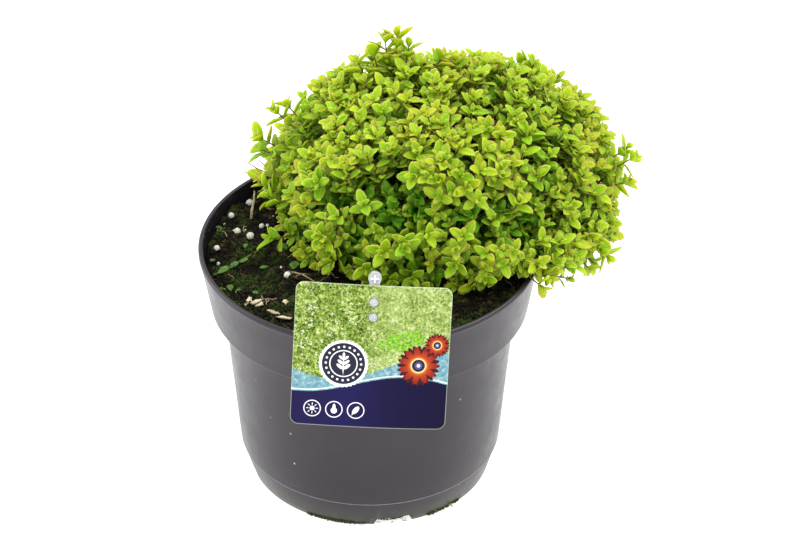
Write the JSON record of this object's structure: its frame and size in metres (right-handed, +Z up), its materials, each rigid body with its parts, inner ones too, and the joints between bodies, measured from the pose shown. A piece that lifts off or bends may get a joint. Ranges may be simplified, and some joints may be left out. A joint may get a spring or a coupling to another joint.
{
  "type": "potted thyme plant",
  "caption": "Round tapered nursery pot of soil with a dense cushion of golden thyme that leans over the rim, and a plant label clipped to the front of the rim.",
  "frame": {"origin": "centre of the pot's underside, on the surface that the pot stands on", "axes": "+Z up, -Y towards the front with the label, +X to the right as seen from the front"},
  "size_m": [0.2179, 0.2281, 0.2102],
  "materials": {
    "pot_plastic": "satin dark grey, injection moulded",
    "potting_soil": "moist crumbly soil with white grains and moss",
    "label_card": "glossy printed plastic card",
    "clear_plastic": "clear moulded plastic",
    "thyme": "soft satin leaves, yellow-green with yellower edges"
  },
  "bodies": {
    "root": {"pot": "pot_plastic", "soil": "potting_soil", "label_card": "label_card", "label_clip": "clear_plastic", "thyme_stem_01": "thyme", "thyme_stem_02": "thyme", "thyme_stem_03": "thyme", "thyme_stem_04": "thyme", "thyme_stem_05": "thyme", "thyme_stem_06": "thyme", "thyme_stem_07": "thyme", "thyme_stem_08": "thyme", "thyme_stem_09": "thyme", "thyme_stem_10": "thyme", "thyme_stem_11": "thyme", "thyme_stem_12": "thyme", "thyme_stem_13": "thyme", "thyme_stem_14": "thyme"}
  },
  "joints": []
}
